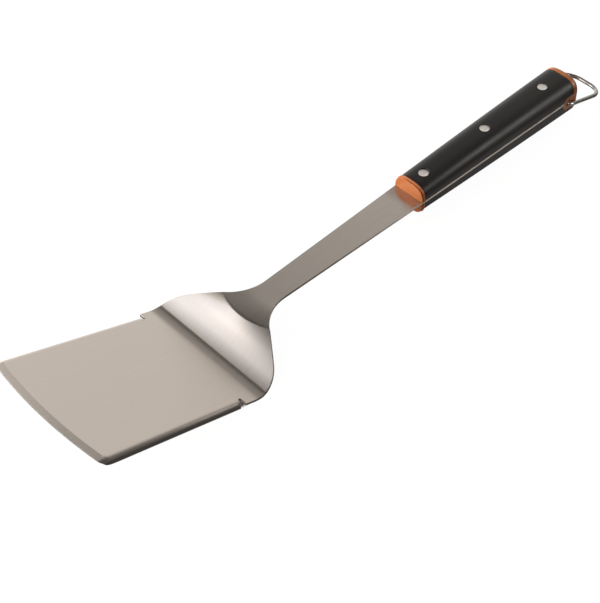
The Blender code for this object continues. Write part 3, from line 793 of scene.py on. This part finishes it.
def scale(name, side, material):
    """A handle scale with its rivet bores and the pockets for the tongues and the cap's lobes."""
    start, end = HANDLE_FRONT + BOLSTER_LENGTH + SEAM, HANDLE_REAR - CAP_LENGTH - SEAM
    obj = new_object(name, half_solid(rounded(start, end, 60), side), material)
    cutters = [rivet_hole(i) for i in range(3)] + [counterbore(i, side) for i in range(3)]
    cutters += [front_tongue(side, SEAM), rear_tongue(side, SEAM), lobe_prism(SEAM)]
    cut(obj, cutters)
    smooth(obj)
    return obj


# (along, inset): a flat face with a rolled edge, a groove behind it and a proud rim that meets the scale.
BOLSTER_PROFILE = (
    (0.0, 0.12), (0.04, 0.02), (0.12, -0.06), (0.25, -0.10), (0.6, -0.10), (0.72, -0.04), (0.8, 0.1),
    (0.9, 0.4), (1.02, 0.55), (1.2, 0.6), (1.4, 0.55), (1.52, 0.4), (1.64, 0.0), (1.72, -0.3),
    (1.84, -0.45), (2.0, -0.5), (2.6, -0.5), (2.8, -0.44), (2.95, -0.28), (BOLSTER_LENGTH, 0.0),
)


def bolster(name, side, material):
    """Half of the bolster, with the tongue that the front rivet holds."""
    stations = [(HANDLE_FRONT + along, inset) for along, inset in BOLSTER_PROFILE]
    obj = new_object(name, half_solid(stations, side, BOLSTER_SOFT_EDGE), material)
    cut(obj, [front_tongue(side)], "UNION")
    cut(obj, [rivet_hole(0)])
    smooth(obj, 40)
    return obj


def end_cap(material):
    """The cap with its rounded rear rim, two lobes with holes for the bail, and two tongues."""
    rear = HANDLE_REAR
    front = rear - CAP_LENGTH
    stations = [(front, 0.2), (front + 0.06, 0.06), (front + 0.2, 0.0)]
    for i in range(19):
        turn = math.pi / 2 * i / 18
        stations.append((rear - CAP_EDGE * (1 - math.sin(turn)), CAP_EDGE * (1 - math.cos(turn))))
    obj = new_object("end_cap_moulding", full_solid(stations), material)
    blank = (PIVOT_X - LOBE_BLANK_FRONT, PIVOT_X - LOBE_BLANK_FRONT / 3, PIVOT_X, rear - LOBE_BLANK_OVERLAP)
    lobes = new_object("lobes", full_solid([(x, 0.0) for x in blank]))
    cut(lobes, [lobe_prism(0.0)], "INTERSECT")
    cut(obj, [lobes, rear_tongue(1), rear_tongue(-1)], "UNION")
    cutters = [rivet_hole(2)]
    for side in (1, -1):
        surface = handle_half_width(PIVOT_X)
        profile = [
            (PIVOT_HOLE_RADIUS + 0.9, side * (surface + 0.6)),
            (PIVOT_HOLE_RADIUS + 0.2, side * (surface - 0.1)),
            (PIVOT_HOLE_RADIUS, side * (surface - 0.35)),
            (PIVOT_HOLE_RADIUS, side * (LOBE_INNER_Y - 2)),
        ]
        cutters.append(new_object("pivot_hole", turned(profile, PIVOT_X, PIVOT_Z, 64, "Y")))
    cut(obj, cutters)
    smooth(obj, 40)
    return obj


# (radius, height above the face) from the middle of the dished head to its rim.
HEAD_PROFILE = (
    (0.02, -0.16), (1.4, -0.155), (2.5, -0.14), (2.95, -0.10), (3.1, -0.03),
    (3.25, 0.0), (3.42, -0.01), (3.56, -0.05), (3.66, -0.13), (3.7, -0.26),
)


def rivet_head(index, side):
    """(radius, height from the middle of the tang) of a head."""
    face = head_floor(index) + RIVET_HEAD_THICKNESS
    return [(radius, side * (face + drop)) for radius, drop in HEAD_PROFILE]


def rivet_post(index, material):
    """The upper half of a rivet: a head on a solid shank."""
    under = head_floor(index)
    profile = rivet_head(index, 1)
    profile += [(RIVET_HEAD_RADIUS, under), (POST_RADIUS, under), (POST_RADIUS, POST_SHORT - under)]
    bm = turned(profile, rivet_x(index), TANG_HEIGHT)
    return new_object(f"rivet_{RIVET_NAMES[index]}_upper", bm, material)


def rivet_socket(index, material):
    """The lower half of a rivet: a head on a tube round the post."""
    under = head_floor(index)
    mouth = under - SOCKET_SHORT
    profile = [(SOCKET_BORE, BORE_FLOOR - under), (SOCKET_BORE, mouth), (SOCKET_RADIUS, mouth)]
    profile += [(SOCKET_RADIUS, -under), (RIVET_HEAD_RADIUS, -under)] + list(reversed(rivet_head(index, -1)))
    bm = turned(profile, rivet_x(index), TANG_HEIGHT)
    return new_object(f"rivet_{RIVET_NAMES[index]}_lower", bm, material)


# ---- Bail

def bail_half():
    """(along, y) of the wire from the inner end of a peg to the middle of the cross wire."""
    elbow, corner = BAIL_ELBOW_RADIUS, BAIL_CORNER_RADIUS
    points = [(0.0, PEG_INNER_Y + i * (BAIL_HALF_WIDTH - elbow - PEG_INNER_Y) / 4) for i in range(5)]
    for i in range(1, 13):
        turn = math.pi / 2 * i / 12
        points.append((elbow * (1 - math.cos(turn)), BAIL_HALF_WIDTH - elbow * (1 - math.sin(turn))))
    leg_end = BAIL_LENGTH - corner
    points += [(elbow + (leg_end - elbow) * i / 8, BAIL_HALF_WIDTH) for i in range(1, 8)]
    for i in range(25):
        turn = math.pi / 2 * i / 24
        points.append((leg_end + corner * math.sin(turn), BAIL_HALF_WIDTH - corner * (1 - math.cos(turn))))
    return points


def bail(material):
    """The bent wire, with a peg at each end. UV is (round, along) in metres."""
    half = bail_half()
    path = half + [(along, -y) for along, y in reversed(half)]
    along_axis = Vector((math.cos(BAIL_TILT), 0.0, -math.sin(BAIL_TILT)))
    normal = Vector((math.sin(BAIL_TILT), 0.0, math.cos(BAIL_TILT)))
    pivot = Vector((PIVOT_X, 0.0, PIVOT_Z))
    points = [pivot + along_axis * along + Vector((0.0, y, 0.0)) for along, y in path]
    count, sides = len(points), 28
    bm = bmesh.new()
    uv_layer = bm.loops.layers.uv.new("UVMap")
    rings, length = [], 0.0
    for i, point in enumerate(points):
        ahead = (points[min(i + 1, count - 1)] - points[max(i - 1, 0)]).normalized()
        across = ahead.cross(normal).normalized()
        if i:
            length += (point - points[i - 1]).length
        tips = [(0.35, 0.0), (0.8, 0.12), (1.0, 0.4)] if i == 0 else [(1.0, 0.0)]
        if i == count - 1:
            tips = [(1.0, -0.4), (0.8, -0.12), (0.35, 0.0)]
        for size, shift in tips:
            ring = []
            for k in range(sides):
                turn = math.tau * k / sides
                offset = (across * math.cos(turn) + normal * math.sin(turn)) * (WIRE_RADIUS * size)
                ring.append(bm.verts.new(at(*(point + ahead * shift + offset))))
            rings.append((ring, length + shift))
    for (first, start), (second, end) in zip(rings, rings[1:]):
        for k in range(sides):
            m = (k + 1) % sides
            face = bm.faces.new((first[k], first[m], second[m], second[k]))
            around = [k, k + 1, k + 1, k]
            for loop, step, along in zip(face.loops, around, (start, start, end, end)):
                loop[uv_layer].uv = (math.tau * WIRE_RADIUS * step / sides * MM, along * MM)
    bm.faces.new(rings[0][0])
    bm.faces.new(rings[-1][0])
    return new_object("bail_wire", bm, material, sharp=50)


# ---- Studio

# (degrees, level) round the tool's cross axis: 0 is beyond the butt, 90 overhead, 180 ahead of the blade.
SURROUNDINGS = (
    (-180, 1.1), (-172, 0.4), (-140, 0.12), (-90, 0.10), (-21, 0.20), (-5, 0.45), (11, 0.72), (25, 0.77),
    (30, 0.75), (37, 0.63), (42, 0.40), (46, 0.31), (49, 0.42), (52, 0.58), (57, 0.42), (64, 0.18),
    (74, 0.06), (86, 0.07), (100, 0.26), (118, 0.50), (135, 1.0), (160, 2.5), (180, 2.9),
)


def world():
    """Surroundings by direction: bright ahead of the blade, a pale wall behind the butt, dark overhead."""
    made = bpy.data.worlds.new("studio")
    bpy.context.scene.world = made
    made.use_nodes = True
    tree = made.node_tree
    tree.nodes.clear()
    direction = node(tree, "ShaderNodeTexCoord").outputs["Generated"]
    x, y, z = node(tree, "ShaderNodeSeparateXYZ", {"Vector": direction}).outputs
    turn = node(tree, "ShaderNodeMath", {0: z, 1: x}, operation="ARCTAN2").outputs[0]
    ramp = node(tree, "ShaderNodeValToRGB", {"Fac": spread(tree, turn, 0.0, 1.0, -math.pi, math.pi)})
    elements = ramp.color_ramp.elements
    while len(elements) > 1:
        elements.remove(elements[-1])
    for i, (degrees, level) in enumerate(SURROUNDINGS):
        element = elements[0] if i == 0 else elements.new((degrees + 180) / 360)
        element.position = (degrees + 180) / 360
        element.color = (level, level * 0.965, level * 0.92, 1.0)
    # The side of the room across the tool from the camera is the brighter one.
    level = product(tree, eased(tree, y, -0.35, 0.35, 0.22, 1.18), eased(tree, y, 0.55, 0.95, 1.0, 1.9))
    # The table glows faintly from straight below, and more towards the butt's far side.
    below = eased(tree, z, -0.45, -0.75, 0.0, 0.08)
    beyond = eased(tree, y, 0.3, 0.65)
    under = product(tree, eased(tree, z, 0.05, -0.15), eased(tree, x, -0.1, 0.2))
    table = weighted(tree, below, beyond, under)
    base = node(tree, "ShaderNodeBackground", {"Color": ramp.outputs["Color"], "Strength": level})
    glow = node(tree, "ShaderNodeBackground", {"Color": (1.0, 0.98, 0.95, 1.0), "Strength": table})
    both = node(tree, "ShaderNodeAddShader", {0: base.outputs[0], 1: glow.outputs[0]})
    backdrop = node(tree, "ShaderNodeBackground", {"Color": (1.0, 1.0, 1.0, 1.0), "Strength": 1.0})
    seen = node(tree, "ShaderNodeLightPath").outputs["Is Camera Ray"]
    mixed = node(tree, "ShaderNodeMixShader", {0: seen, 1: both.outputs[0], 2: backdrop.outputs[0]})
    out = node(tree, "ShaderNodeOutputWorld")
    tree.links.new(mixed.outputs[0], out.inputs["Surface"])


def softbox(name, centre, size, radiance, colour, facing=(0.0, 0.0, -1.0), spread=180, diffuse=True):
    """A softbox at a place and of a size in metres. With diffuse off, it only adds gloss."""
    light = bpy.data.lights.new(name, "AREA")
    light.shape = "RECTANGLE"
    light.size, light.size_y = size
    light.energy = radiance * math.pi * light.size * light.size_y
    light.color = colour
    light.spread = math.radians(spread)
    obj = bpy.data.objects.new(name, light)
    obj.location = centre
    forward = Vector(facing).normalized()
    across = Vector((1.0, 0.0, 0.0)).cross(forward).normalized()
    along = forward.cross(across)
    obj.rotation_euler = Matrix((along, across, -forward)).transposed().to_euler()
    obj.visible_camera = False
    obj.visible_diffuse = diffuse
    bpy.context.collection.objects.link(obj)


def lights():
    cool, warm = (0.97, 1.0, 1.09), (1.0, 0.95, 0.89)
    softbox("key", (-0.375, 0.50, 0.30), (0.45, 0.60), 1.68, cool)
    softbox("key_edge", (-0.12, 0.48, 0.30), (0.06, 0.64), 1.05, warm)
    softbox("shoulder", (0.315, -0.21, 0.16), (0.27, 0.15), 1.1, warm, (-0.35, 0.75, -0.5), 80, diffuse=False)
    softbox("under", (0.255, -0.155, -0.12), (0.25, 0.17), 0.6, warm, (0.0, 0.0, 1.0), diffuse=False)


FLOOR_REACH = 30.0
FLOOR_Z = -0.0002
HEEL_SHADOW_X = -7.0
# (axis, middle, half size) in metres of the painted shadow where the blade's heel stands.
HEEL_SHADOW_PATCH = (("X", at(HEEL_SHADOW_X, 0, 0).x, 0.009), ("Y", 0.0, 0.0483))
HEEL_SHADOW_FADE = 0.002


def floor():
    """A white table with a painted shadow where the blade's heel stands. It lights nothing and no surface
    reflects it.
    """
    bm = bmesh.new()
    for x, y in ((-1, -1), (1, -1), (1, 1), (-1, 1)):
        bm.verts.new((x * FLOOR_REACH, y * FLOOR_REACH, FLOOR_Z))
    bm.faces.new(bm.verts)
    made, tree, shader = new_material("floor", Roughness=0.9)
    shader.inputs["Base Color"].default_value = (0.12, 0.12, 0.12, 1.0)
    shader.inputs["Emission Color"].default_value = (1.0, 1.0, 1.0, 1.0)
    where = node(tree, "ShaderNodeTexCoord").outputs["Object"]
    place = node(tree, "ShaderNodeSeparateXYZ", {"Vector": where}).outputs
    sides = []
    for axis, middle, reach in HEEL_SHADOW_PATCH:
        apart = node(tree, "ShaderNodeMath", {0: place[axis], 1: middle}, operation="SUBTRACT").outputs[0]
        apart = node(tree, "ShaderNodeMath", {0: apart}, operation="ABSOLUTE").outputs[0]
        sides.append(spread(tree, apart, 1.0, 0.0, reach - HEEL_SHADOW_FADE, reach))
    # Painted shadow: the table's glow drops from 0.96 to 0.05 inside the heel patch.
    glow = spread(tree, product(tree, *sides), 0.96, 0.05, 0.0, 1.0)
    tree.links.new(glow, shader.inputs["Emission Strength"])
    obj = new_object("floor", bm, made, sharp=None)
    obj.visible_glossy = False
    obj.visible_diffuse = False
    obj.visible_shadow = False


CAMERA_PLACE = (-0.497453, -0.47127, 0.71606)
CAMERA_TURN = (41.752, 0.204, -43.939)
CAMERA_LENS = 87.534
SENSOR_WIDTH = 36.0


def camera():
    data = bpy.data.cameras.new("camera")
    data.lens = CAMERA_LENS
    data.sensor_width = SENSOR_WIDTH
    data.clip_start = 0.01
    obj = bpy.data.objects.new("camera", data)
    obj.location = CAMERA_PLACE
    obj.rotation_euler = [math.radians(angle) for angle in CAMERA_TURN]
    bpy.context.collection.objects.link(obj)
    bpy.context.scene.camera = obj


def main():
    steel, black, orange = brushed_steel(), black_scale(), orange_polymer()
    rivet, wire = rivet_steel(), wire_steel()
    sheet = plate(steel)
    cut(sheet, [rivet_hole(i) for i in range(3)] + [lobe_prism(SEAM)])
    piece(sheet, "spatula", "blade_and_tang")
    piece(scale("scale_upper", 1, black), "spatula", "upper_scale")
    piece(scale("scale_lower", -1, black), "spatula", "lower_scale")
    piece(bolster("bolster_upper", 1, orange), "spatula", "front_bolster_upper")
    piece(bolster("bolster_lower", -1, orange), "spatula", "front_bolster_lower")
    piece(end_cap(orange), "spatula", "end_cap")
    for i, name in enumerate(RIVET_NAMES):
        piece(rivet_post(i, rivet), "spatula", f"rivet_{name}_post")
        piece(rivet_socket(i, rivet), "spatula", f"rivet_{name}_socket")
    piece(bail(wire), "bail", "hanging_bail")
    world()
    lights()
    floor()
    camera()
    bpy.context.scene.view_settings.view_transform = "Standard"


main()
